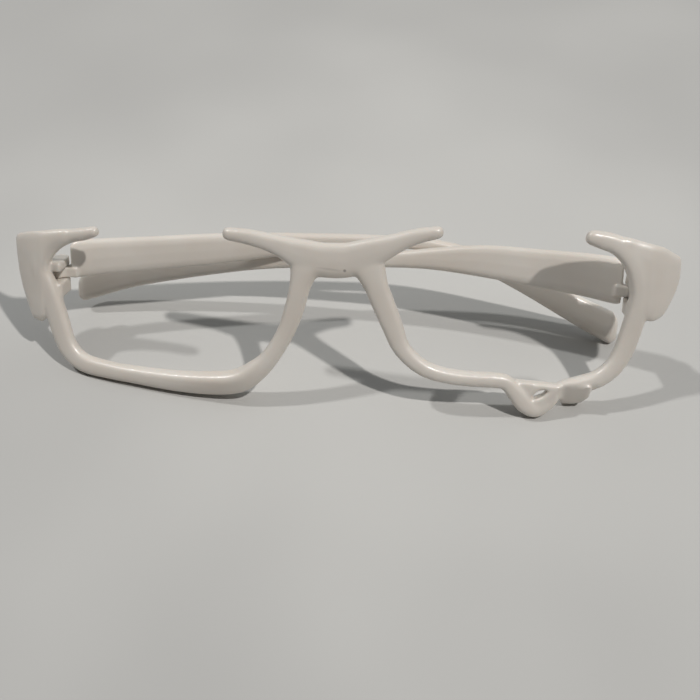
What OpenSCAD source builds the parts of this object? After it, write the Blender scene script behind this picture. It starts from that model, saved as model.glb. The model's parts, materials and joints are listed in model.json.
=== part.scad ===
// Half-rim glasses without lenses, folded and lying on a table.
// The front, its hinge ears and its rims are one moulding. Each temple arm is
// one moulding with a hinge tongue, and one steel screw holds it in its ears.
// Everything is drawn with the front upright: +X to the viewer's right, +Y
// towards the arms, +Z up. The last step leans the folded glasses on the table.

/* [Rims] */
// Width of a rim between the middles of its two side bars
rim_w = 57; // [48:0.5:62]
// Height of a rim between the middles of its brow and its lower bar
rim_h = 32; // [27:0.5:38]
// Distance between the middles of the two nose side bars
bridge_gap = 14; // [12:0.5:20]
// Height of the bars where they are plain
bar_w = 3.2; // [2.6:0.1:4]
// Depth of the bars from front to back
bar_d = 3.2; // [2.6:0.1:4.2]
// Radius of the gentle curve of the front, seen from above
wrap_r = 290; // [180:5:600]

/* [Loop in the lower bar] */
// Distance of the loop from the nose side bar
loop_x = 36.4; // [28:0.2:40]
// Half of the loop's width at the lower bar
loop_w = 4.3; // [3.8:0.1:5.5]
// How far the loop dips below the lower bar
loop_drop = 5.7; // [4:0.1:8]

/* [Endpieces] */
// How far an endpiece reaches out past the side bar
endpiece_out = 8; // [6:0.5:11]
// How far the outer edge of an endpiece bends back
endpiece_back = 4.4; // [3:0.2:7]
// Thickness of an endpiece
endpiece_t = 2.5; // [2:0.1:3.2]

/* [Hinges] */
// Distance of the hinge pin behind the foremost point of the front
hinge_y = 12; // [11.5:0.1:14]
// Distance of the hinge pin inwards from the middle of the side bar
hinge_in = 0.6; // [0:0.1:2]
// Radius of the ears and of the tongue
knuckle_r = 2.1; // [1.9:0.1:2.2]
// Height of the whole stack of ear, tongue and ear
stack_h = 8; // [7:0.2:9]
// Height of the tongue
tongue_h = 2.4; // [2:0.1:3]
// Height of the upper ear
upper_ear_h = 1.9; // [1.6:0.1:2.2]
// Diameter of the screw's shank
screw_d = 1.4; // [1.2:0.1:1.6]
// Diameter of the screw's head
screw_head_d = 2.6; // [2.2:0.1:3]
// Height of the screw's head
screw_head_h = 0.8; // [0.6:0.1:1.2]
// Side lean of both hinge pins
hinge_roll = 2.8; // [2.6:0.1:4]
// Lean of the two hinge pins along the open arms, opposite ways left and right,
// which lets the left arm pass over the right one
hinge_pitch = 3; // [2.9:0.1:3.6]

/* [Temple arms] */
// Length of an arm from its hinge pin to its tip
arm_l = 127; // [110:1:140]
// Thickness of an arm
arm_t = 2.8; // [2.2:0.1:3.4]
// Height of an arm's top over the rims' middle, at the viewer's left hinge
arm_z = 9.6; // [8:0.1:11]
// How much lower the viewer's right arm sits
arm_step = 2.6; // [2:0.1:3.4]
// How far an arm bows away from the front at its middle
arm_bow = 5; // [3:0.2:8]
// Angle between the front and a folded arm
fold_angle = 5; // [4.5:0.1:6]

/* [Fits] */
// Running clearance round the screw
pin_gap = 0.05; // [0.03:0.01:0.1]
// Gap between the ears and the tongue, and round each knuckle
knuckle_gap = 0.15; // [0.1:0.05:0.3]

/* [Hidden] */

plastic = [0.93, 0.92, 0.87];
steel = [0.62, 0.63, 0.65];
$fn = 48;

// Corners of a bar's section and how square it is, from 1 for an oval
bar_sides = 14;
squareness = 0.62;
// Rings between two stations of a bar
bar_steps = 3;
arm_steps = 3;
// Heights of the rim's box: its lower bar and its brow
low_z = -0.625 * rim_h;

hinge_x = bridge_gap / 2 + rim_w - hinge_in;
lower_ear_h = stack_h - tongue_h - upper_ear_h - 2 * knuckle_gap;
// The stack hangs this far below the top of the arm
stack_below = 4.8;
// The screw stops this far below the top of the upper ear
screw_stop = upper_ear_h / 3;
// How far an endpiece starts in front of the side bar's middle, so that their
// faces are flush, and how late it bends back
endpiece_front = 0.8;
endpiece_bend = 1.5;
// How far the tongue's root reaches into the arm
tongue_root = 4.2;
// How far an ear's web reaches outwards where it meets the endpiece
web_out = 4.5;

// Stations of the bars: place across and up the rim's box, and the bar's
// height and depth, all in per cent, then the tilt of its section in degrees.
// Across, 0 is the nose side bar and 100 the temple side bar. Up, 0 is the
// lower bar and 100 the brow.
left_rim = [
    [77.5, 101, 52, 62, 0], [83, 98.5, 68, 75, 0], [90, 96, 84, 85, 0], [97, 91, 118, 100, 0],
    [102, 82, 130, 120, 0], [103.5, 72, 130, 120, 0], [101.5, 61, 135, 115, 0], [99.5, 48, 140, 110, 0],
    [97.5, 32, 142, 105, 0], [95, 17, 135, 100, 0], [89, 6.5, 125, 100, 0], [78, 2.5, 112, 100, 0],
    [66, 0.5, 115, 100, 5], [51, -1.5, 135, 105, 12], [36, -1.5, 155, 115, 20], [25.5, 1, 158, 120, 22],
    [18.5, 8.5, 138, 115, 12], [12.5, 19, 112, 110, 5], [6.5, 36, 110, 100, 0], [3, 52, 122, 100, 0],
    [0.5, 68, 132, 100, 0], [-1.5, 81, 190, 95, 0]
];
right_rim_outer = [
    [78.5, 101, 76, 70, 0], [84, 98, 98, 85, 0], [90.5, 93.5, 122, 105, 0], [96.5, 82, 142, 130, 0],
    [99.3, 62, 133, 130, 0], [97, 37, 135, 105, 0], [93, 16, 125, 100, 0], [86, 4, 112, 100, 0],
    [76, -0.5, 100, 95, 0]
];
right_rim_inner = [
    [46, 5, 92, 95, 0], [33, 7, 90, 100, 0], [21, 13, 95, 100, 0], [12.5, 27, 106, 100, 0],
    [8.8, 43, 130, 100, 0], [5, 60, 143, 100, 0], [3, 69, 150, 100, 0], [0.5, 81, 200, 95, 0]
];
// The loop's stations in per cent of its half width and of its drop, then the
// strand's height: the strand towards the nose is a broad one
loop_shape = [
    [114, 12, 92], [79, 28, 86], [56, 60, 84], [-9, 96, 90], [-70, 67, 118], [-123, 18, 102], [-168, -18, 90]
];
// Brow stations from the middle of the bridge out to a spur's tip
brow_left = [
    [-7, 86.4, 222, 92, 0], [0, 89.8, 196, 95, 0], [6, 94, 142, 95, 0], [12, 97.5, 108, 90, 0],
    [20, 100.8, 92, 85, 0], [28, 102.9, 76, 75, 0]
];
brow_right = [
    [-7, 86.4, 222, 92, 0], [-1, 89.8, 200, 95, 0], [4.5, 93.5, 165, 95, 0], [10, 97.5, 122, 92, 0],
    [17, 102, 92, 85, 0], [26.3, 105.5, 72, 75, 0]
];
// The brow at the middle of the bridge: its height up the rim and its section
brow_mid = [86, 225, 92];
// Depth of the loop's strands in per cent
loop_depth = 88;
// Flat webs in the plane of the right rim, across and up in mm from the
// middle of the loop: one in the loop's mouth with a slot through it, and a
// lip on the bar beside it
mouth_web = [[-6.2, 1.2], [4.8, 0.3], [2.5, -2.5], [-0.4, -4.6], [-4.5, -3]];
mouth_slot = [[-2.1, -2.6], [-1.6, -3.1], [0.4, -2], [1.9, -0.8], [1.5, -0.4], [-0.5, -1.3]];
lip_web = [[4.8, -0.2], [4.4, -2.2], [5.2, -3.3], [7.6, -3.3], [9.6, -2.9], [10.8, -1.8], [10.9, 0.3]];
// Thickness of the webs, and how far the lip lies behind the other one
web_t = 2.5;
lip_back = 0.7;

// Edges of an endpiece: share of the way out, and its lower and upper edge in
// per cent of the rim's height
left_endpiece = [
    [-75, 95, 101], [-35, 90, 100.3], [-10, 84, 99.6], [8, 70, 99.2], [22, 37, 99], [50, 35, 98],
    [66, 36, 97], [80, 46, 96], [93, 58, 95], [100, 72, 93.5]
];
right_endpiece = [
    [-70, 94, 100], [-42, 88, 99], [-22, 60, 97.5], [15, 44, 95], [45, 44, 92.5], [62, 47, 90],
    [78, 54, 87.5], [92, 62, 85], [100, 70, 83]
];

// Arm stations: per cent of the length, then the top and bottom edge in mm
// below the top at the hinge. An arm starts just clear of the ears.
arm_clear = 0.44;
arm_start = 100 * (knuckle_r + arm_clear) / arm_l;
left_arm_shape = [
    [arm_start, 2.1, 9.4], [arm_start + 1.2, 1, 9.6], [8, 0.6, 8.8], [16, 0.1, 7.8],
    [26, -0.7, 6.5], [36, -1.2, 4.6], [46, -1.4, 2.5], [56, -1.5, 1.2], [66, -1.2, 1.7],
    [74, 0.9, 5.1], [82, 4.7, 9.8], [90, 8.7, 15.2], [96, 11.7, 19.2], [100, 13.7, 21.2]
];
right_arm_shape = [
    [arm_start, 2.2, 11], [arm_start + 1.2, 1.1, 11.2], [8, 0.8, 10.3], [16, 0.9, 9.4],
    [26, 1.1, 8.2], [36, 3, 7.5], [46, 5.2, 8.2], [56, 6.3, 9.2], [66, 7.3, 10.6], [74, 8.4, 12.4],
    [82, 9.6, 14.5], [90, 10.9, 16.9], [96, 12.8, 19.5], [100, 14.6, 21.2]
];

// A smooth curve through a list of stations
function between(p, i, t) =
    let (a = p[max(i - 1, 0)], b = p[i], c = p[i + 1], d = p[min(i + 2, len(p) - 1)])
    (2 * b + (c - a) * t + (2 * a - 5 * b + 4 * c - d) * t * t + (3 * b - a - 3 * c + d) * t * t * t) / 2;
function smooth(p, steps) =
    [for (i = [0 : len(p) - 2]) for (k = [0 : steps - 1]) between(p, i, k / steps), p[len(p) - 1]];

// One corner of a rounded square section, w across and d deep
function power(v) = sign(v) * pow(abs(v), squareness);
function corner(j, w, d) =
    let (a = 360 * (j + 0.5) / bar_sides)
    [w / 2 * power(cos(a)), d / 2 * power(sin(a))];

// Bar stations from per cent to mm on one side of the front
function rim_station(s, side) =
    [side * (bridge_gap / 2 + s[0] / 100 * rim_w), low_z + s[1] / 100 * rim_h,
     s[2] / 100 * bar_w, s[3] / 100 * bar_d, s[4]];
function loop_station(s) =
    [bridge_gap / 2 + loop_x + s[0] / 100 * loop_w, low_z - s[1] / 100 * loop_drop,
     s[2] / 100 * bar_w, loop_depth / 100 * bar_d, 0];
function wrap(x) = x * x / (2 * wrap_r);

// Rings of a bar along its stations, with a domed ring at each free end
function along(p, i) =
    let (a = p[max(i - 1, 0)], b = p[min(i + 1, len(p) - 1)], v = [b[0] - a[0], b[1] - a[1]])
    v / norm(v);
function bar_ring(s, dir, shift, size) =
    [for (j = [0 : bar_sides - 1])
        let (c = size * corner(j, s[2], s[3]),
             across = c[0] * cos(s[4]) + c[1] * sin(s[4]),
             deep = c[1] * cos(s[4]) - c[0] * sin(s[4]),
             x = s[0] - dir[1] * across + dir[0] * shift,
             z = s[1] + dir[0] * across + dir[1] * shift)
        [x, wrap(x) + deep, z]];
dome = [[0.42, 0.45], [0.28, 0.78]];
function bar_rings(p) =
    let (n = len(p) - 1, first = along(p, 0), last = along(p, n))
    [for (e = dome) bar_ring(p[0], first, -e[0] * p[0][2], e[1]),
     for (i = [0 : n]) bar_ring(p[i], along(p, i), 0, 1),
     for (k = [1 : len(dome)]) let (e = dome[len(dome) - k]) bar_ring(p[n], last, e[0] * p[n][2], e[1])];

// Faces of a skin over rings of equal length
module skin(rings) {
    n = len(rings[0]);
    m = len(rings);
    points = [for (r = rings) for (q = r) q];
    walls = [for (i = [0 : m - 2]) for (j = [0 : n - 1])
        let (a = i * n + j, b = i * n + (j + 1) % n)
        each [[a, b, a + n], [b, b + n, a + n]]];
    start = [for (j = [n - 1 : -1 : 0]) j];
    end = [for (j = [0 : n - 1]) (m - 1) * n + j];
    polyhedron(points = points, faces = concat([start], walls, [end]));
}

left_rim_bar = smooth([for (s = left_rim) rim_station(s, -1)], bar_steps);
right_rim_bar = smooth(
    [for (s = right_rim_outer) rim_station(s, 1),
     for (s = loop_shape) loop_station(s),
     for (s = right_rim_inner) rim_station(s, 1)], bar_steps);
brow_bar = smooth(
    [for (k = [len(brow_left) - 1 : -1 : 0]) rim_station(brow_left[k], -1),
     [0, low_z + brow_mid[0] / 100 * rim_h, brow_mid[1] / 100 * bar_w, brow_mid[2] / 100 * bar_d, 0],
     for (s = brow_right) rim_station(s, 1)], bar_steps);

// An endpiece is a plate that turns back from the side bar
function endpiece_y(s) =
    wrap(bridge_gap / 2 + rim_w + min(s, 0) / 100 * endpiece_out)
    - endpiece_front * (1 + min(s, 0) / 100)
    + endpiece_back * pow(max(s, 0) / 100, endpiece_bend);
function endpiece_rings(list, side) =
    let (p = smooth(list, 2))
    [for (s = p)
        let (low = low_z + s[1] / 100 * rim_h, high = low_z + s[2] / 100 * rim_h,
             x = bridge_gap / 2 + rim_w + s[0] / 100 * endpiece_out,
             rounding = s[0] > 99 || s[0] < -60 ? 0.5 : 1)
        [for (j = [0 : bar_sides - 1])
            let (c = corner(side > 0 ? j : bar_sides - 1 - j, high - low, endpiece_t * rounding))
            [side * x, endpiece_y(s[0]) + c[1], (low + high) / 2 + c[0]]]];

// Rings of an arm that points inwards from its hinge pin at the origin
function arm_rings(side) =
    let (p = smooth(side < 0 ? left_arm_shape : right_arm_shape, arm_steps), n = len(p) - 1)
    [for (i = [0 : n])
        let (s = p[i], share = s[0] / 100,
             slope = 4 * arm_bow / arm_l * (1 - 2 * share),
             end = i == n ? 0.6 : 1)
        [for (j = [0 : bar_sides - 1])
            let (c = corner(side < 0 ? j : bar_sides - 1 - j, (s[2] - s[1]) * end, arm_t * end))
            [-side * (share * arm_l - slope * c[1]),
             4 * arm_bow * share * (1 - share) + c[1],
             stack_below - (s[1] + s[2]) / 2 + c[0]]]];

// Places of the hinges: side -1 is the viewer's left
function pin_top(side) = arm_z - stack_below - (side > 0 ? arm_step : 0);
function fold(side) = -side * fold_angle;

// A hinge's own axes: origin on the pin at the top of the stack
module at_hinge(side) {
    translate([side * hinge_x, hinge_y, pin_top(side)])
        rotate([-side * hinge_pitch, 0, 0])
            rotate([0, hinge_roll, 0])
                children();
}

// The same turns and moves for single points
function turn_x(p, a) = [p.x, p.y * cos(a) - p.z * sin(a), p.y * sin(a) + p.z * cos(a)];
function turn_y(p, a) = [p.x * cos(a) + p.z * sin(a), p.y, p.z * cos(a) - p.x * sin(a)];
function turn_z(p, a) = [p.x * cos(a) - p.y * sin(a), p.x * sin(a) + p.y * cos(a), p.z];
function arm_points(side) =
    [for (r = arm_rings(side)) for (p = r)
        turn_x(turn_y(turn_z(p, fold(side)), hinge_roll), -side * hinge_pitch)
        + [side * hinge_x, hinge_y, pin_top(side)]];

// The table: the glasses rest on the lowest point of each rim and of an arm.
// The way up is guessed, the lowest points are found and the guess is mended.
left_points = [for (r = bar_rings(left_rim_bar)) each r];
right_points = [for (r = bar_rings(right_rim_bar)) each r];
left_arm_points = arm_points(-1);
right_arm_points = arm_points(1);
function lowest(points, up) =
    let (heights = [for (p = points) p * up])
    points[search(min(heights), heights)[0]];
function way_up(a, b, c) = let (n = cross(b - a, c - a)) n / norm(n);
function settle(up, times) =
    times == 0 ? up :
    let (a = lowest(left_points, up), b = lowest(right_points, up),
         on_left = way_up(a, b, lowest(left_arm_points, up)),
         on_right = way_up(a, b, lowest(right_arm_points, up)))
    settle(on_left.y > on_right.y ? on_left : on_right, times - 1);
up = settle([0, -0.42, 0.91], 4);
side_lean = -atan2(up.x, up.z);
back_lean = atan2(up.y, norm([up.x, up.z]));
endpiece_points =
    [for (r = endpiece_rings(left_endpiece, -1)) each r, for (r = endpiece_rings(right_endpiece, 1)) each r];
laid_points =
    [for (list = [left_points, right_points, left_arm_points, right_arm_points, endpiece_points])
        for (p = list) turn_x(turn_y(p, side_lean), back_lean)];
function middle(i) = (min([for (p = laid_points) p[i]]) + max([for (p = laid_points) p[i]])) / 2;
laid_shift = [-middle(0), -middle(1), -min([for (p = laid_points) p.z])];

// Lays the upright glasses on the table, with the origin under their middle
module laid() {
    translate(laid_shift)
        rotate([back_lean, 0, 0])
            rotate([0, side_lean, 0])
                children();
}

// One hinge ear from z up by h, with the web that joins it to the endpiece
module ear(side, z, h) {
    reach = hinge_y - endpiece_y(0);
    outer_reach = hinge_y - endpiece_y(100 * (web_out - hinge_in) / endpiece_out);
    translate([0, 0, z]) {
        cylinder(r = knuckle_r, h = h);
        linear_extrude(height = h)
            polygon([[-side * knuckle_r, 0], [side * knuckle_r, 0],
                     [side * web_out, -outer_reach], [-side * knuckle_r, -reach]]);
    }
}

// A flat web in the plane of the right rim, placed from the middle of the loop
module rim_web(back) {
    loop_mid = bridge_gap / 2 + loop_x;
    translate([loop_mid, wrap(loop_mid) + web_t / 2 + back, low_z])
        rotate([90, 0, 0])
            linear_extrude(height = web_t)
                children();
}

module front_frame() {
    color(plastic)
        difference() {
            union() {
                skin(bar_rings(left_rim_bar));
                skin(bar_rings(right_rim_bar));
                skin(bar_rings(brow_bar));
                skin(endpiece_rings(left_endpiece, -1));
                skin(endpiece_rings(right_endpiece, 1));
                rim_web(0)
                    difference() {
                        polygon(mouth_web);
                        polygon(mouth_slot);
                    }
                rim_web(lip_back)
                    polygon(lip_web);
                for (side = [-1, 1])
                    at_hinge(side) {
                        ear(side, -upper_ear_h, upper_ear_h);
                        ear(side, -stack_h, lower_ear_h);
                    }
            }
            for (side = [-1, 1])
                at_hinge(side)
                    screw_hole();
        }
}

// Hole for the screw: blind at the top, with a seat for the head below
module screw_hole() {
    translate([0, 0, -stack_h - 1])
        cylinder(d = screw_d + 2 * pin_gap, h = stack_h + 1 - screw_stop);
    translate([0, 0, -stack_h - 1])
        cylinder(d = screw_head_d + 2 * pin_gap, h = screw_head_h + 1 + pin_gap);
}

module hinge_screw(side) {
    color(steel)
        at_hinge(side)
            translate([0, 0, -stack_h + pin_gap]) {
                cylinder(d = screw_head_d, h = screw_head_h);
                cylinder(d = screw_d, h = stack_h - screw_stop - 2 * pin_gap);
            }
}

module temple(side) {
    tongue_z = -upper_ear_h - knuckle_gap - tongue_h;
    color(plastic)
        at_hinge(side)
            rotate([0, 0, fold(side)])
                difference() {
                    union() {
                        skin(arm_rings(side));
                        translate([0, 0, tongue_z]) {
                            cylinder(r = knuckle_r, h = tongue_h);
                            translate([side > 0 ? -tongue_root : 0, -arm_t / 2, 0])
                                cube([tongue_root, arm_t, tongue_h]);
                        }
                    }
                    translate([0, 0, tongue_z - 1])
                        cylinder(d = screw_d + 2 * pin_gap, h = tongue_h + 2);
                }
}

laid() front_frame();
laid() temple(-1);  // left_temple
laid() temple(1);  // right_temple
laid() hinge_screw(-1);  // left_hinge_screw
laid() hinge_screw(1);  // right_hinge_screw
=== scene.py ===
# %% [markdown]
# # Half-rim glasses, folded on a pale table
#
# The glasses are a moulded white plastic frame with no lenses. The construction
# comes in ready made: a front, two folded arms and two hinge screws, each in its
# own place. This lesson gives them their looks: mouldings with the soft edges
# that a polished steel mould leaves, a warm white plastic, steel screws, a
# table, two lamps and a camera at the photograph's angle.

# %% Load the construction
import json
import math

import bmesh
import bpy
from mathutils import Matrix, Vector


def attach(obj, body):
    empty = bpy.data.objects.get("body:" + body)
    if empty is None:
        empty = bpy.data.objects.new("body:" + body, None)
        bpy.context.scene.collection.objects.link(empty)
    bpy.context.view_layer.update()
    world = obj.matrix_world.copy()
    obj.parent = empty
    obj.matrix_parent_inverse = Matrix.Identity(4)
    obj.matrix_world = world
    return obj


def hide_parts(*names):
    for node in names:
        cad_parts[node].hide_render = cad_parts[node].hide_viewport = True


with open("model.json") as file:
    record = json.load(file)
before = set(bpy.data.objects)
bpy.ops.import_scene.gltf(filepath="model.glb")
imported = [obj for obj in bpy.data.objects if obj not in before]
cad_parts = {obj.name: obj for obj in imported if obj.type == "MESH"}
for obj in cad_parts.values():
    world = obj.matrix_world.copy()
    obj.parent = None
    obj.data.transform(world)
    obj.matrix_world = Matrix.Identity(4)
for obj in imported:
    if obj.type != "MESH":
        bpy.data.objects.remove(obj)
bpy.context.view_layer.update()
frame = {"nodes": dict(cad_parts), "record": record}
behaviour = frame["record"]["behaviour"]
body_of = {node: body for body, nodes in behaviour["bodies"].items() for node in nodes}
MM = 0.001
print("pieces:", ", ".join(frame["nodes"]))

# %% [markdown]
# ## Where the front lies
#
# The front leans back on the table and a little to one side. Marks and small
# shape changes on it are easier to give in its own upright axes: across,
# backwards and up from the middle of the bridge. This matrix turns such a
# place into its place on the table, and its inverse goes the other way.

# %% The front's own axes
FRONT_PLACE = (Matrix.Translation(Vector((0.326, -7.265, 23.483)) * MM)
               @ Matrix.Rotation(math.radians(-28.29), 4, "X")
               @ Matrix.Rotation(math.radians(-3.04), 4, "Y"))
FRONT_UPRIGHT = FRONT_PLACE.inverted()
print("middle of the bridge:", [round(value, 4) for value in FRONT_PLACE.translation])

# %% [markdown]
# ## Small helpers
#
# Every finished piece has its mesh in place and its object at the origin,
# so that a surface pattern doesn't slide when a piece is posed. A finish is a
# tree of nodes, and a tree is long to write out, so four helpers keep it
# short: one starts a finish, one adds a node with its values, one adds a noise
# on the piece's own coordinates, and one stretches a value to a new range.


# %% A finished piece
def new_piece(name, mesh, body, stands_for):
    piece = bpy.data.objects.new(name, mesh)
    bpy.context.scene.collection.objects.link(piece)
    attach(piece, body)
    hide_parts(stands_for)
    return piece


# %% The nodes of a finish
def new_finish(name, base, roughness=0.3):
    finish = bpy.data.materials.new(name)
    finish.use_nodes = True
    shader = finish.node_tree.nodes["Principled BSDF"]
    shader.inputs["Base Color"].default_value = (*base, 1)
    shader.inputs["Roughness"].default_value = roughness
    return finish, finish.node_tree, shader


def add_node(tree, kind, **values):
    node = tree.nodes.new(kind)
    for name, value in values.items():
        if name in node.inputs:
            node.inputs[name].default_value = value
        else:
            setattr(node, name, value)
    return node


def add_noise(tree, place, **values):
    noise = add_node(tree, "ShaderNodeTexNoise", **values)
    tree.links.new(place.outputs["Object"], noise.inputs["Vector"])
    return noise.outputs["Fac"]


def stretched(tree, value, old_range, new_range, curve="LINEAR"):
    node = add_node(tree, "ShaderNodeMapRange", interpolation_type=curve)
    ends = ("From Min", "From Max", "To Min", "To Max")
    for end, number in zip(ends, (*old_range, *new_range)):
        node.inputs[end].default_value = number
    tree.links.new(value, node.inputs["Value"])
    return node.outputs["Result"]


# %% [markdown]
# ## The gate mark
#
# Under the brow sits the gate mark, where the plastic ran into the mould and
# was cut off: a faint dull streak with a dark speck at its end. Each could be
# a picture laid on the surface, but two small stretched balls of darker colour
# do the same without one. A Mapping node puts each ball in its place and
# stretches it, and a spherical gradient fades it out towards its border. The
# places are millimetres in the front's own axes, and keep is the share of the
# colour that is left in the middle.

# %% Marks in the plastic
GATE_STREAK = {"at": (-0.6, -1.5, 6.0), "size": (3.3, 1.2, 0.32), "lean": 7, "keep": 0.84}
GATE_SPECK = {"at": (2.3, -1.5, 5.75), "size": (0.42, 1.0, 0.42), "lean": 0, "keep": 0.45}
MARK_BORDER = 0.6


def darkened(tree, place, colour, mark):
    spot = (FRONT_PLACE @ Matrix.Translation(Vector(mark["at"]) * MM)
            @ Matrix.Rotation(math.radians(mark["lean"]), 4, "Y"))
    mapping = add_node(tree, "ShaderNodeMapping", vector_type="TEXTURE", Location=spot.translation,
                       Rotation=spot.to_euler(), Scale=Vector(mark["size"]) * MM)
    tree.links.new(place.outputs["Object"], mapping.inputs["Vector"])
    ball = add_node(tree, "ShaderNodeTexGradient", gradient_type="SPHERICAL")
    tree.links.new(mapping.outputs["Vector"], ball.inputs["Vector"])
    kept = stretched(tree, ball.outputs["Fac"], (0, MARK_BORDER), (1, mark["keep"]))
    darker = add_node(tree, "ShaderNodeVectorMath", operation="SCALE")
    tree.links.new(colour, darker.inputs[0])
    tree.links.new(kept, darker.inputs["Scale"])
    return darker.outputs["Vector"]


print("gate mark at", GATE_STREAK["at"], "and", GATE_SPECK["at"])

# %% [markdown]
# ## The white plastic
#
# The frame is injection-moulded in a warm white. Such plastic is never one
# flat colour: the melt cools unevenly, so the white drifts a little from
# place to place, and handling leaves a faint yellowing and fine rubbed
# patches that dull the gloss. Three noises of different size on the piece's
# own coordinates give this: a slow one for the drift of the colour, a middle
# one for the rubbed patches in the roughness, and a fine one for the
# orange-peel ripple of the moulded skin in the bump. Light goes a little way
# into white plastic, so some of it is scattered below the surface.

# %% White plastic
PLASTIC_WHITE = (0.725, 0.682, 0.628)
PLASTIC_WARM = (0.675, 0.622, 0.562)
WARM_BELOW, WHITE_ABOVE = 0.35, 0.62
DRIFT = {"Scale": 55.0, "Detail": 3.0}
RUBBED = {"Scale": 420.0, "Detail": 4.0, "Roughness": 0.6}
RIPPLE = {"Scale": 900.0, "Detail": 2.0}
RUBBED_RANGE = (0.3, 0.7)
PLASTIC_ROUGHNESS = (0.34, 0.44)
PLASTIC_SKIN = {
    "IOR": 1.49, "Specular IOR Level": 1.0, "Coat Weight": 0.12, "Coat Roughness": 0.14,
    "Subsurface Weight": 0.12, "Subsurface Radius": (1.0, 0.6, 0.4), "Subsurface Scale": 0.8 * MM,
}


def white_plastic():
    finish, tree, shader = new_finish("moulded_white", PLASTIC_WHITE)
    link = tree.links.new
    place = add_node(tree, "ShaderNodeTexCoord")

    shade = add_node(tree, "ShaderNodeValToRGB")
    warm, white = shade.color_ramp.elements
    warm.position, warm.color = WARM_BELOW, (*PLASTIC_WARM, 1)
    white.position, white.color = WHITE_ABOVE, (*PLASTIC_WHITE, 1)
    link(add_noise(tree, place, **DRIFT), shade.inputs["Fac"])
    colour = shade.outputs["Color"]
    for mark in (GATE_STREAK, GATE_SPECK):
        colour = darkened(tree, place, colour, mark)
    link(colour, shader.inputs["Base Color"])

    rubbed = add_noise(tree, place, **RUBBED)
    link(stretched(tree, rubbed, RUBBED_RANGE, PLASTIC_ROUGHNESS), shader.inputs["Roughness"])

    skin = add_node(tree, "ShaderNodeBump", Strength=0.12, Distance=0.06 * MM)
    link(add_noise(tree, place, **RIPPLE), skin.inputs["Height"])
    link(skin.outputs["Normal"], shader.inputs["Normal"])
    for name, value in PLASTIC_SKIN.items():
        shader.inputs[name].default_value = value
    return finish


plastic = white_plastic()
print("finish:", plastic.name)

# %% [markdown]
# ## The mouldings
#
# The front and the arms come from a polished mould, so no edge is sharp and
# bars run into each other with small fillets. The construction's solids have
# plain facets. They could be beveled, but a bevel can't round the place where
# three bars meet. So a copy of each solid is merged, rebuilt on a fine even
# grid and smoothed: the grid melts joined bars into one skin, and smoothing
# pulls a fillet into every inner corner, as the mould has.

# %% From a solid to a skin
GRID = 0.28 * MM
MERGE_WITHIN = 0.001 * MM


def merged_copy(node):
    copy = frame["nodes"][node].data.copy()
    shell = bmesh.new()
    shell.from_mesh(copy)
    bmesh.ops.remove_doubles(shell, verts=shell.verts, dist=MERGE_WITHIN)
    shell.to_mesh(copy)
    shell.free()
    return copy


def add_grid(piece):
    grid = piece.modifiers.new("even grid", "REMESH")
    grid.mode = "VOXEL"
    grid.voxel_size = GRID
    grid.use_smooth_shade = True


def add_smoothing(piece, passes, group=""):
    soft = piece.modifiers.new("fillets", "SMOOTH")
    soft.factor = 0.5
    soft.iterations = passes
    soft.vertex_group = group


def bake(piece):
    bpy.context.view_layer.update()
    finished = piece.evaluated_get(bpy.context.evaluated_depsgraph_get())
    result = bpy.data.meshes.new_from_object(finished)
    piece.modifiers.clear()
    piece.data = result


print("grid of", round(GRID / MM, 2), "mm")

# %% [markdown]
# ### Soft borders
#
# A change that stops at a hard line leaves a crease, so each one fades out
# over a few millimetres along a soft S, which the ramp gives. Round the hinge
# pins the faces run close to each other, so there the skin is smoothed only a
# little. At the roots of the nose legs the fillets are larger than elsewhere,
# so the skin gets many more passes there. A vertex group holds each share.
# The roots are given in millimetres in the front's own axes.

# %% Where the smoothing works
HINGE_KEEP = (3.0 * MM, 6.0 * MM)
LEG_ROOTS = ((-5.2, 0.0, 4.6), (5.9, 0.0, 4.8))
LEG_REACH = (2.5, 5.5)

pins = [{"at": Vector(joint["pos_m"]), "axis": Vector(joint["axis"]).normalized()}
        for joint in behaviour["joints"]]
print("hinge pins:", len(pins))


def ramp(value, low, high):
    share = min(max((value - low) / (high - low), 0), 1)
    return share * share * (3 - 2 * share)


def distance_to_pin(point, pin):
    along = (point - pin["at"]).dot(pin["axis"])
    return (point - pin["at"] - along * pin["axis"]).length


def away_from_hinges(piece):
    group = piece.vertex_groups.new(name="away from hinges")
    for vertex in piece.data.vertices:
        gap = min(distance_to_pin(vertex.co, pin) for pin in pins)
        group.add([vertex.index], ramp(gap, *HINGE_KEEP), "REPLACE")
    return group.name


def near_legs(piece):
    group = piece.vertex_groups.new(name="near the nose legs")
    for vertex in piece.data.vertices:
        point = (FRONT_UPRIGHT @ vertex.co) / MM
        gap = min((point - Vector(root)).length for root in LEG_ROOTS)
        if gap < LEG_REACH[1]:
            group.add([vertex.index], 1 - ramp(gap, *LEG_REACH), "REPLACE")
    return group.name


# %% [markdown]
# ### The lip and the loop's slot
#
# The right rim's lower bar dips into a loop with a narrow slot in its mouth,
# and beside the loop a small lip hangs under the bar. On the real frame the
# lip slopes back into the bar's own shade, and the slot is wider than a plain
# solid has it after smoothing. Both are pushed into shape, as a sculptor would
# push clay: the deeper a point lies in the lip, the further it goes back, and
# the slot's two walls are moved apart. All lengths here and in the next two
# code cells are millimetres in the front's own axes.

# %% Lip and slot
LOOP_FROM = 36.0
LIP_TOP = -19.6
LIP_ACROSS = (47.3, 48.4, 54.6, 56.2)
LIP_BACK = 0.85
LIP_DOWN = 0.42
SLOT_MIDDLE = (43.5, -21.4)
SLOT_LEAN = math.radians(33)
SLOT_ALONG = (0, 2.6)
SLOT_ACROSS = (0.3, 1.5)
SLOT_PUSH = 0.42


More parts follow.
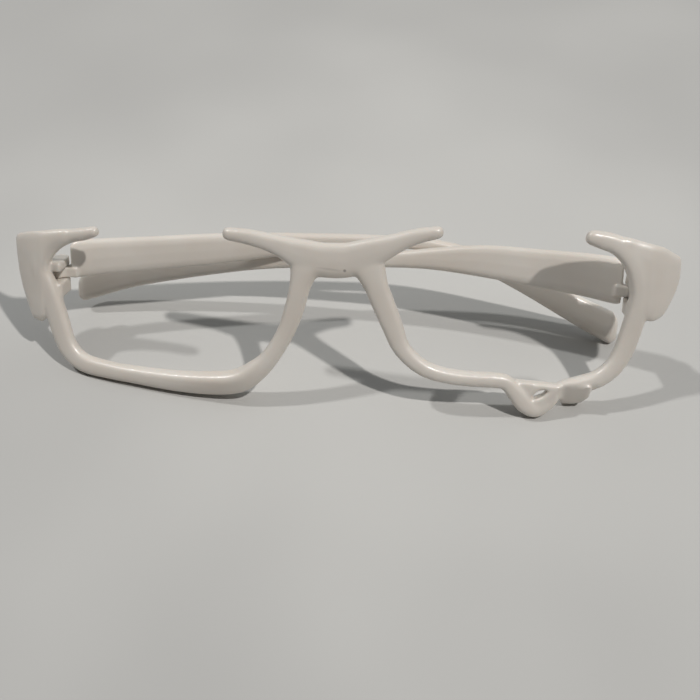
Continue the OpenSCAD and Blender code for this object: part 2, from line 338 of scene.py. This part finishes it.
def slope_lip(point):
    depth = max(LIP_TOP - point.z, 0)
    share = ramp(point.x, *LIP_ACROSS[:2]) * (1 - ramp(point.x, *LIP_ACROSS[2:]))
    return Vector((0, LIP_BACK * depth, -LIP_DOWN * depth)) * share


def widen_slot(point):
    gap = Vector((point.x - SLOT_MIDDLE[0], point.z - SLOT_MIDDLE[1]))
    lean = Vector((math.cos(SLOT_LEAN), math.sin(SLOT_LEAN)))
    along, across = gap.dot(lean), lean.cross(gap)
    share = (1 - ramp(abs(along), *SLOT_ALONG)) * (1 - ramp(abs(across), *SLOT_ACROSS))
    push = math.copysign(SLOT_PUSH * share, across)
    return Vector((-lean.y * push, 0, lean.x * push))


print("loop's slot leans", round(math.degrees(SLOT_LEAN)), "degrees")

# %% [markdown]
# ### The spurs
#
# Two spurs stand out of the brow and one out of each endpiece. Their ends are
# blunt, and smoothing alone would draw them out thin. Each tip is pushed back
# along its spur, which is the inward direction, and the two on the endpieces
# are fattened a little round their own line.

# %% Spur tips
SPUR_TIPS = (
    {"tip": (-50.2, 4.9, 12.6), "inward": (-0.97, 0.11, -0.2), "fatter": 0.2},
    {"tip": (50.3, 4.9, 12.8), "inward": (0.93, 0.05, -0.35), "fatter": 0.15},
    {"tip": (-23.8, 1.0, 13.3), "inward": (0.96, -0.1, -0.265), "fatter": 0.0},
    {"tip": (23.3, 1.0, 13.7), "inward": (-0.95, -0.09, -0.31), "fatter": 0.0},
)
TIP_BACK = 0.75
BACK_REACH = (2.5, 6.0)
FAT_REACH = (2.0, 9.0)


def blunt_spur(point, tip, inward, fatter):
    gap = point - Vector(tip)
    inward = Vector(inward)
    aside = gap - gap.dot(inward) * inward
    share_back = 1 - ramp(gap.length, *BACK_REACH)
    share_fat = 1 - ramp(gap.length, *FAT_REACH)
    return inward * TIP_BACK * share_back + aside * fatter * share_fat


print("spurs:", len(SPUR_TIPS))


# %% All pushes on the front
def sculpt_front(piece):
    for vertex in piece.data.vertices:
        point = (FRONT_UPRIGHT @ vertex.co) / MM
        if point.z > 0:
            push = sum((blunt_spur(point, **spur) for spur in SPUR_TIPS), Vector())
        elif point.x > LOOP_FROM and point.z < LIP_TOP:
            push = slope_lip(point) + widen_slot(point)
        else:
            continue
        vertex.co = FRONT_PLACE @ ((point + push) * MM)


# %% [markdown]
# ### All three mouldings
#
# Smoothing thins a bar, most of all at its tip, so at the end the skin is
# pushed back out by about the same small amount, but not at the hinges. The
# front's corners are rounder than the arms', so it gets more passes.

# %% Soft mouldings
FIRST_PASSES = 3
LEG_PASSES = 40
SOFT_PASSES = {"front_frame": 14, "left_temple": 8, "right_temple": 8}
REGROWTH = {"front_frame": 0.16 * MM, "left_temple": 0.07 * MM, "right_temple": 0.07 * MM}


def soft_moulding(node):
    piece = new_piece(node + "_moulding", merged_copy(node), body_of[node], node)
    add_grid(piece)
    bake(piece)
    if node == "front_frame":
        sculpt_front(piece)
        add_smoothing(piece, LEG_PASSES, near_legs(piece))
    group = away_from_hinges(piece)
    add_smoothing(piece, FIRST_PASSES)
    add_smoothing(piece, SOFT_PASSES[node], group)
    regrown = piece.modifiers.new("regrowth", "DISPLACE")
    regrown.strength = REGROWTH[node]
    regrown.mid_level = 0
    regrown.vertex_group = group
    bake(piece)
    piece.vertex_groups.clear()
    piece.data.materials.clear()
    piece.data.materials.append(plastic)
    print(piece.name, "has", len(piece.data.polygons), "faces")


for moulded in SOFT_PASSES:
    soft_moulding(moulded)

# %% [markdown]
# ## The hinge screws
#
# A hinge screw is plain turned steel with a slot for a small screwdriver.
# Turning leaves fine rings, which show as small changes in the gloss.

# %% Screw steel
STEEL_GREY = (0.58, 0.57, 0.55)
STEEL_ROUGHNESS = (0.22, 0.45)
RINGS = {"Scale": 2500.0, "Detail": 2.0}


def turned_steel():
    finish, tree, shader = new_finish("turned_steel", STEEL_GREY)
    shader.inputs["Metallic"].default_value = 1.0
    rings = add_noise(tree, add_node(tree, "ShaderNodeTexCoord"), **RINGS)
    gloss = stretched(tree, rings, (0, 1), STEEL_ROUGHNESS)
    tree.links.new(gloss, shader.inputs["Roughness"])
    return finish


steel = turned_steel()
print("finish:", steel.name)

# %% [markdown]
# ### Slotted heads
#
# The construction's screws have the right size but a plain head, so each is
# copied, and a thin bar is taken out of the head with a boolean. Sawing the
# slot from the faces by hand would mean cutting the head's rim too, which a
# boolean does by itself. A narrow bevel then takes the sharpness off. The bar
# is as long, wide and high as the three lengths say, with its middle on the
# head's outer face.

# %% Slotted heads
HEAD_FROM = 1.0 * MM
HEAD_SLOT = Vector((4.0, 0.36, 0.8)) * MM
HEAD_BEVEL = 0.05 * MM


def slot_cutter(mesh, pin):
    rim = [vertex.co for vertex in mesh.vertices if distance_to_pin(vertex.co, pin) > HEAD_FROM]
    reach = [(point - pin["at"]).dot(pin["axis"]) for point in rim]
    end = max(reach, key=abs)
    turn = pin["axis"].to_track_quat("Z", "Y").to_matrix().to_4x4()
    place = Matrix.Translation(pin["at"] + end * pin["axis"]) @ turn @ Matrix.Diagonal((*HEAD_SLOT, 1))
    block = bmesh.new()
    bmesh.ops.create_cube(block, size=1, matrix=place)
    cutter_mesh = bpy.data.meshes.new("slot_cutter")
    block.to_mesh(cutter_mesh)
    block.free()
    cutter = bpy.data.objects.new("slot_cutter", cutter_mesh)
    bpy.context.scene.collection.objects.link(cutter)
    return cutter


def slotted_screw(node):
    mesh = merged_copy(node)
    centre = sum((vertex.co for vertex in mesh.vertices), Vector()) / len(mesh.vertices)
    pin = min(pins, key=lambda each: (each["at"] - centre).length)
    cutter = slot_cutter(mesh, pin)
    piece = new_piece(node + "_slotted", mesh, body_of[node], node)
    sawn = piece.modifiers.new("slot", "BOOLEAN")
    sawn.operation = "DIFFERENCE"
    sawn.solver = "EXACT"
    sawn.object = cutter
    softened = piece.modifiers.new("edges", "BEVEL")
    softened.width = HEAD_BEVEL
    softened.segments = 2
    softened.limit_method = "ANGLE"
    bake(piece)
    bpy.data.objects.remove(cutter)
    piece.data.materials.clear()
    piece.data.materials.append(steel)
    print(piece.name, "has", len(piece.data.polygons), "faces")


for screw in ("left_hinge_screw", "right_hinge_screw"):
    slotted_screw(screw)

# %% [markdown]
# ## The table
#
# The glasses lie on a plain pale sheet. It is one large flat square with a
# faint grain, so that the shadows are what the eye sees. The sheet isn't
# quite even: a painted pool of light makes it a little lighter round the
# glasses than further out, and it has slow pale clouds, like any paper that
# has been handled. A spherical gradient gives the painted pool round the
# middle, a noise gives the clouds, and their sum picks a shade between the
# dull and the light grey.

# %% Table
TABLE_HALF = 3.0
# The light grey is both the painted pool of light and the pale clouds; the dull grey lies outside the
# pool and in the darker clouds.
FLOOR_PALE_AND_LIT = (0.545, 0.543, 0.528)
FLOOR_DULL_AND_DIM = (0.44, 0.438, 0.428)
FLOOR_ROUGHNESS = 0.75
PAINTED_POOL_MIDDLE = Vector((20, 30, 0)) * MM
PAINTED_POOL_REACH = 250 * MM
POOL_AND_CLOUDS_RANGE = (0.68, 1.52)
CLOUDS = {"Scale": 14.0, "Detail": 1.5}
GRAIN = {"Scale": 350.0, "Detail": 5.0}


def table_finish():
    finish, tree, shader = new_finish("pale_table_painted_light", FLOOR_PALE_AND_LIT, FLOOR_ROUGHNESS)
    link = tree.links.new
    place = add_node(tree, "ShaderNodeTexCoord")
    # Painted pool of light: the table's colour is made lighter round the glasses and duller further
    # out.
    painted_pool_place = add_node(tree, "ShaderNodeMapping", vector_type="TEXTURE", Location=PAINTED_POOL_MIDDLE,
                            Scale=(PAINTED_POOL_REACH, PAINTED_POOL_REACH, PAINTED_POOL_REACH))
    link(place.outputs["Object"], painted_pool_place.inputs["Vector"])
    painted_pool = add_node(tree, "ShaderNodeTexGradient", gradient_type="SPHERICAL")
    link(painted_pool_place.outputs["Vector"], painted_pool.inputs["Vector"])
    pool_and_clouds = add_node(tree, "ShaderNodeMath", operation="ADD")
    link(painted_pool.outputs["Fac"], pool_and_clouds.inputs[0])
    link(add_noise(tree, place, **CLOUDS), pool_and_clouds.inputs[1])
    shade = add_node(tree, "ShaderNodeValToRGB")
    shade.color_ramp.elements[0].color = (*FLOOR_DULL_AND_DIM, 1)
    shade.color_ramp.elements[1].color = (*FLOOR_PALE_AND_LIT, 1)
    share = stretched(tree, pool_and_clouds.outputs["Value"], POOL_AND_CLOUDS_RANGE, (0, 1), "SMOOTHSTEP")
    link(share, shade.inputs["Fac"])
    link(shade.outputs["Color"], shader.inputs["Base Color"])

    rough = add_node(tree, "ShaderNodeBump", Strength=0.1, Distance=0.2 * MM)
    link(add_noise(tree, place, **GRAIN), rough.inputs["Height"])
    link(rough.outputs["Normal"], shader.inputs["Normal"])
    shader.inputs["Specular IOR Level"].default_value = 0.25
    return finish


def make_table():
    sheet = bmesh.new()
    bmesh.ops.create_grid(sheet, x_segments=1, y_segments=1, size=TABLE_HALF)
    mesh = bpy.data.meshes.new("table")
    sheet.to_mesh(mesh)
    sheet.free()
    mesh.materials.append(table_finish())
    table = bpy.data.objects.new("table", mesh)
    bpy.context.scene.collection.objects.link(table)
    print("table of", 2 * TABLE_HALF, "m")


make_table()

# %% [markdown]
# ## The camera
#
# The photograph was taken by hand from above the front, a little to the
# right of the middle. The camera's place and turn were worked out from
# mirror pairs on the frame: spur tips, endpiece corners and lens corners.

# %% Camera
CAMERA_AT = Vector((20.24, -157.95, 166.84)) * MM
CAMERA_TURN = (43.561, 0.296, 6.044)
IMAGE_SIZE = 700
FOCAL_PIXELS = 1000

camera = bpy.data.objects.new("camera", bpy.data.cameras.new("camera"))
bpy.context.scene.collection.objects.link(camera)
camera.data.sensor_width = 36
camera.data.lens = camera.data.sensor_width * FOCAL_PIXELS / IMAGE_SIZE
camera.data.clip_start = 5 * MM
camera.location = CAMERA_AT
camera.rotation_euler = [math.radians(angle) for angle in CAMERA_TURN]
bpy.context.scene.camera = camera
print("camera lens", round(camera.data.lens, 2), "mm")

# %% [markdown]
# ## The lamps
#
# Two small ceiling lamps light the photograph, and each throws its own set of
# shadows, to the left and to the right. Their directions follow from the
# spurs' tips and the tips of their shadows. They could be small discs, but
# the table would darken away from them, so two sun lamps of a few degrees
# stand in. Their softness is that angle in degrees.

# %% Lamps
LAMPS = {
    "lamp_right": {"towards": (0.48, -0.2, 0.86), "softness": 2.4, "strength": 1.84,
                   "colour": (1.0, 0.965, 0.93)},
    "lamp_left": {"towards": (-0.54, 0.15, 0.83), "softness": 2.9, "strength": 1.0,
                  "colour": (1.0, 0.99, 0.97)},
}


def hang_lamp(name, towards, softness, strength, colour):
    light = bpy.data.lights.new(name, "SUN")
    light.angle = math.radians(softness)
    light.energy = strength
    light.color = colour
    holder = bpy.data.objects.new(name, light)
    bpy.context.scene.collection.objects.link(holder)
    direction = Vector(towards).normalized()
    holder.rotation_euler = direction.to_track_quat("Z", "Y").to_euler()
    print(name, "of strength", strength)


for name, values in LAMPS.items():
    hang_lamp(name, **values)

# %% [markdown]
# ## The sky
#
# A dim sky, brighter overhead and behind than in front, fills the shadows. It
# could be one even grey, but then the front's own faces would be as light as
# its top edges. The camera and the reflections in steel and gloss see a
# plain pale wall there instead, and it lights nothing else.

# %% Sky
SKY_BRIGHTEST = (0.0, 0.6, 0.8)
SKY_FADE = (0.3, 1.0)
SKY_STRENGTH = (0.0, 0.53)
SKY_COLOUR = (0.94, 0.98, 1.0, 1)
WALL_COLOUR = (0.5, 0.495, 0.48, 1)


def make_sky():
    sky = bpy.data.worlds.new("sky")
    sky.use_nodes = True
    tree = sky.node_tree
    link = tree.links.new
    place = add_node(tree, "ShaderNodeTexCoord")
    upness = add_node(tree, "ShaderNodeVectorMath", operation="DOT_PRODUCT")
    upness.inputs[1].default_value = SKY_BRIGHTEST
    link(place.outputs["Generated"], upness.inputs[0])
    background = tree.nodes["Background"]
    background.inputs["Color"].default_value = SKY_COLOUR
    strength = stretched(tree, upness.outputs["Value"], SKY_FADE, SKY_STRENGTH)
    link(strength, background.inputs["Strength"])
    wall = add_node(tree, "ShaderNodeBackground", Color=WALL_COLOUR)
    ray = add_node(tree, "ShaderNodeLightPath")
    seen_or_mirrored = add_node(tree, "ShaderNodeMath", operation="MAXIMUM")
    link(ray.outputs["Is Camera Ray"], seen_or_mirrored.inputs[0])
    link(ray.outputs["Is Glossy Ray"], seen_or_mirrored.inputs[1])
    choice = add_node(tree, "ShaderNodeMixShader")
    link(seen_or_mirrored.outputs["Value"], choice.inputs["Fac"])
    link(background.outputs["Background"], choice.inputs[1])
    link(wall.outputs["Background"], choice.inputs[2])
    link(choice.outputs["Shader"], tree.nodes["World Output"].inputs["Surface"])
    return sky


bpy.context.scene.world = make_sky()
bpy.context.scene.view_settings.view_transform = "Standard"
print("sky:", bpy.context.scene.world.name)
